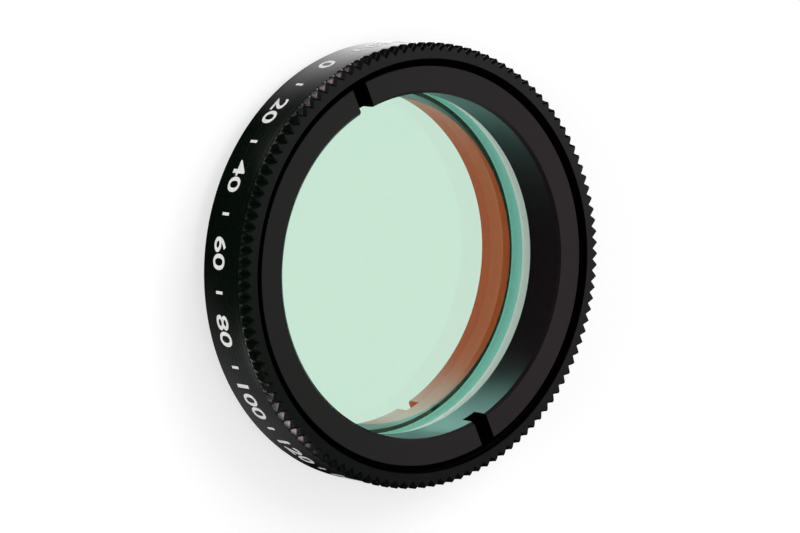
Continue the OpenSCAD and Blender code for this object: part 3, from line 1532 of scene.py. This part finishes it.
@dataclass
class Studio:
    """Paper floor, soft light and the camera."""

    # Bearing of the white side of the room round the axis, from X
    white_deg: float = -117.5
    # The lamps' distance from the part and the side of the floor, in metres
    lamp_far: float = 0.35
    floor_size: float = 3.0
    # Level of the room's light on matt surfaces
    ambient: float = 0.6
    # The brightest side of the room as metal mirrors it, in degrees round from the white side
    sky_turn: float = 15.0
    # It runs from dark to white between these cosines of the angle to its brightest side, on a
    # curve of this power that starts a little above black
    sky_reach: tuple[float, float] = (-0.6, 0.5)
    sky_power: float = 2.0
    sky_black: float = 0.01
    # A ray counts as mirrored by metal where its score is above this. Each mirroring counts 1,
    # less these for each step through glass and for each matt bounce.
    metal_score: float = 0.4
    glass_cost: float = 0.5
    matt_cost: float = 8.0
    card_z: float = 0.1
    card_steps: int = 180
    # Rings of the card from the barrel outwards: the radius in mm and the soft patches of light
    card_rings: tuple[tuple[float, tuple[Patch, ...]], ...] = (
        (14.4, ((78, 63, 2.85), (216, 38, 0.42))),
        (16.0, ((78, 63, 2.85), (216, 38, 0.42))),
        (17.2, ((76, 56, 1.4), (230, 44, 0.2))),
        (18.6, ((76, 56, 1.4), (230, 44, 0.2))),
        (20.4, ((141, 15, 3.4), (212, 14, 5.8))),
        (24.0, ((144, 15, 3.4), (208, 13, 5.8))),
        (40.0, ((155, 16, 3.2), (199, 13, 5.8))),
        (90.0, ((162, 16, 3.2), (195, 13, 5.8))),
        (300.0, ((165, 16, 3.2), (193, 13, 5.8))),
    )
    # Lens, sensor and place of the camera in mm, then the directions of its picture's right and
    # bottom and of its view
    focal: float = 205.0
    sensor: float = 36.0
    camera_at: tuple[float, float, float] = (103.5, 157.07, 245.7)
    right: tuple[float, float, float] = (-0.3228, -0.7258, 0.6075)
    down: tuple[float, float, float] = (-0.8842, 0.4603, 0.0801)
    ahead: tuple[float, float, float] = (-0.3377, -0.5112, -0.7903)

    def floor(self) -> None:
        """Lay the paper floor under the part."""
        half = self.floor_size / 2
        mesh = bpy.data.meshes.new("floor")
        corners = [(-half, -half, 0), (half, -half, 0), (half, half, 0), (-half, half, 0)]
        mesh.from_pydata(corners, [], [(0, 1, 2, 3)])
        mesh.materials.append(StudioPaper().build())
        made = bpy.data.objects.new("floor", mesh)
        bpy.context.scene.collection.objects.link(made)

    def card(self) -> None:
        """Lay a lit card round the foot of the barrel, which only mirrored rays see.

        It gives the barrel and the grooves of the knurl their bright patches.
        """
        steps = self.card_steps
        turns = np.arange(steps) * 360 / steps
        bearing = np.radians(turns + self.white_deg)
        points, levels = [], []
        for radius, patches in self.card_rings:
            level = np.zeros(steps)
            for centre, half, bright in patches:
                off = np.abs((turns - centre + 180) % 360 - 180) / half
                level += bright * np.square(1 - np.square(np.minimum(off, 1.0)))
            ring = np.stack([
                radius * np.cos(bearing), radius * np.sin(bearing), np.full(steps, self.card_z)
            ], axis=1)
            points.extend((ring * MM).tolist())
            levels.extend(level.tolist())
        faces = [
            (k * steps + i, (k + 1) * steps + i, (k + 1) * steps + (i + 1) % steps,
             k * steps + (i + 1) % steps)
            for k in range(len(self.card_rings) - 1) for i in range(steps)
        ]
        mesh = bpy.data.meshes.new("table_card")
        mesh.from_pydata(points, [], faces)
        finish = LitCard()
        painted = mesh.attributes.new(finish.level_name, "FLOAT", "POINT")
        painted.data.foreach_set("value", levels)
        mesh.materials.append(finish.build())
        made = bpy.data.objects.new("table_card", mesh)
        made.visible_camera = False
        made.visible_diffuse = False
        made.visible_transmission = False
        made.visible_shadow = False
        bpy.context.scene.collection.objects.link(made)

    def lamp(
        self, name: str, bearing: float, height: float, width: float, tall: float,
        level: float, mirrored: bool = True,
    ) -> None:
        """Hang one soft lamp that faces the part.

        Args:
            name: The lamp's name.
            bearing: Its direction round the axis, in degrees.
            height: Its elevation, in degrees.
            width: Its width, in metres.
            tall: Its height, in metres.
            level: Its brightness, where 1 is white.
            mirrored: Whether metal and glass show it.
        """
        data = bpy.data.lights.new(name, "AREA")
        data.shape = "RECTANGLE"
        data.size, data.size_y = width, tall
        data.energy = level * math.pi * width * tall
        made = bpy.data.objects.new(name, data)
        a, e = math.radians(bearing), math.radians(height)
        back = Vector((math.cos(a) * math.cos(e), math.sin(a) * math.cos(e), math.sin(e)))
        made.location = back * self.lamp_far
        made.rotation_mode = "QUATERNION"
        made.rotation_quaternion = (-back).to_track_quat("-Z", "Y")
        made.visible_glossy = mirrored
        made.visible_transmission = mirrored
        bpy.context.scene.collection.objects.link(made)

    def sky(self) -> None:
        """Light the room: pale on the white side, dim on the camera's side, white to the eye."""
        world = bpy.data.worlds.new("studio")
        world.use_nodes = True
        tree = world.node_tree
        tree.nodes.clear()
        ray = add_node(tree, "ShaderNodeTexCoord").outputs["Generated"]
        ramp = graded_across(tree, ray, self.white_deg - self.sky_turn, self.sky_reach)
        curve = add_node(
            tree, "ShaderNodeMath", {0: ramp, 1: self.sky_power}, operation="POWER"
        )
        mirrored = add_node(
            tree, "ShaderNodeMapRange", {"Value": curve.outputs[0], "To Min": self.sky_black}
        )
        rays = add_node(tree, "ShaderNodeLightPath").outputs
        # Black metal, seen straight or by way of the coating, mirrors the room's dark side too.
        # The two steps through the glass make up for the coating's own mirror, so the coating
        # shows white, and matt surfaces get the even light.
        glassy = add_node(
            tree, "ShaderNodeMath",
            {0: rays["Transmission Depth"], 1: -self.glass_cost, 2: rays["Glossy Depth"]},
            operation="MULTIPLY_ADD",
        )
        score = add_node(
            tree, "ShaderNodeMath",
            {0: rays["Diffuse Depth"], 1: -self.matt_cost, 2: glassy.outputs[0]},
            operation="MULTIPLY_ADD",
        )
        by_metal = add_node(
            tree, "ShaderNodeMath", {0: score.outputs[0], 1: self.metal_score},
            operation="GREATER_THAN",
        )
        soft = add_node(
            tree, "ShaderNodeMix",
            {"Factor": rays["Is Diffuse Ray"], 2: 1.0, 3: self.ambient}, data_type="FLOAT",
        )
        seen = add_node(
            tree, "ShaderNodeMix",
            {"Factor": by_metal.outputs[0], 2: soft.outputs[0], 3: mirrored.outputs[0]},
            data_type="FLOAT",
        )
        light = add_node(tree, "ShaderNodeBackground", {"Strength": seen.outputs[0]})
        add_node(tree, "ShaderNodeOutputWorld", {"Surface": light.outputs[0]})
        bpy.context.scene.world = world

    def camera(self) -> None:
        """Set the camera at the photograph's viewing angle."""
        data = bpy.data.cameras.new("camera")
        data.lens = self.focal
        data.sensor_width = self.sensor
        data.clip_start, data.clip_end = 0.01, 10.0
        made = bpy.data.objects.new("camera", data)
        side, up, back = Vector(self.right), -Vector(self.down), -Vector(self.ahead)
        turn = Matrix((side, up, back)).transposed().to_4x4()
        made.matrix_world = Matrix.Translation(Vector(self.camera_at) * MM) @ turn
        bpy.context.scene.collection.objects.link(made)
        bpy.context.scene.camera = made

    def build(self) -> None:
        """Set up the whole studio."""
        self.camera()
        self.floor()
        self.sky()
        self.card()
        self.lamp(
            "key_softbox", bearing=self.white_deg + 66, height=49.0, width=0.22, tall=0.26,
            level=3.0,
        )
        self.lamp(
            "fill", bearing=self.white_deg + 180, height=20.0, width=0.2, tall=0.2, level=4.0,
            mirrored=False,
        )
        bpy.context.scene.view_settings.view_transform = "Standard"


def main() -> None:
    """Build the studio and each piece in order, and tie the pieces to the frame."""
    logging.basicConfig(level=logging.INFO, format="%(name)s: %(message)s")
    Studio().build()

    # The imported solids' corners, in mm
    cell_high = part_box(Part.CELL.value)[1] / MM
    ring_low, ring_high = (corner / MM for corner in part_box(Part.RING.value))
    glass_low, glass_high = (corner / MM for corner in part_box(Part.GLASS.value))
    # Every finish below has the painted colour cast towards the room's white side; the cell's
    # front face also has strong painted shade towards one side, the ring's a little
    cell_finish = BlackAnodised(
        "black_anodised_cell", cool_tone="#060d08", warm_tone="#0b0a0a",
        sheen_tint="#f4eaf0", roughness=0.27, shine=0.27, dull_share=0.3,
        face_deg=-57.5,
    ).build()
    # Threads, slots and the ring's neck lie in recesses; their darker finish, almost without
    # sheen, is painted shade
    recess_shade_finish = BlackAnodised(
        "black_anodised_recess_shade", cool_tone="#020302", warm_tone="#030202",
        sheen_tint="#f4eaf0", roughness=0.6, shine=0.02,
    ).build()
    ring_finish = BlackAnodised(
        "black_anodised_ring", cool_tone="#0c120d", warm_tone="#171114",
        sheen_tint="#f2e4ec", roughness=0.3, shine=0.28, dull_share=0.8, mark_depth=0.0002,
        mark_gloss=0.01,
    ).build()

    cell = FilterCell(
        cell_finish, recess_shade_finish, outer_r=round(cell_high.x, 2), height=round(cell_high.z, 2)
    )
    ring = RetainingRing(
        ring_finish, recess_shade_finish, foot_z=round(ring_low.z, 2), face_z=round(ring_high.z, 2)
    )
    low_z, high_z = round(glass_low.z, 2), round(glass_high.z, 2)
    glass = FilterGlass(
        PolishedCrownGlass().build(), LineCoating().build(),
        GroundGlass(rear_z=low_z, front_z=high_z).build(),
        radius=round(glass_high.x, 2), low_z=low_z, high_z=high_z,
    )
    scale = PrintedScale(ScreenInk().build(), barrel_r=cell.barrel_r)

    finished = (
        (cell.build(), Part.CELL, "black_anodised"),
        (ring.build(cell.front_thread()), Part.RING, "black_anodised_ring"),
        (glass.build(), Part.GLASS, "coated_glass"),
    )
    for piece, part, slot in finished:
        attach(piece, BODY)
        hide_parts(part.value)
        report(piece)
    numbers = scale.build()
    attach(numbers, BODY)
    report(numbers)


if __name__ == "__main__":
    main()
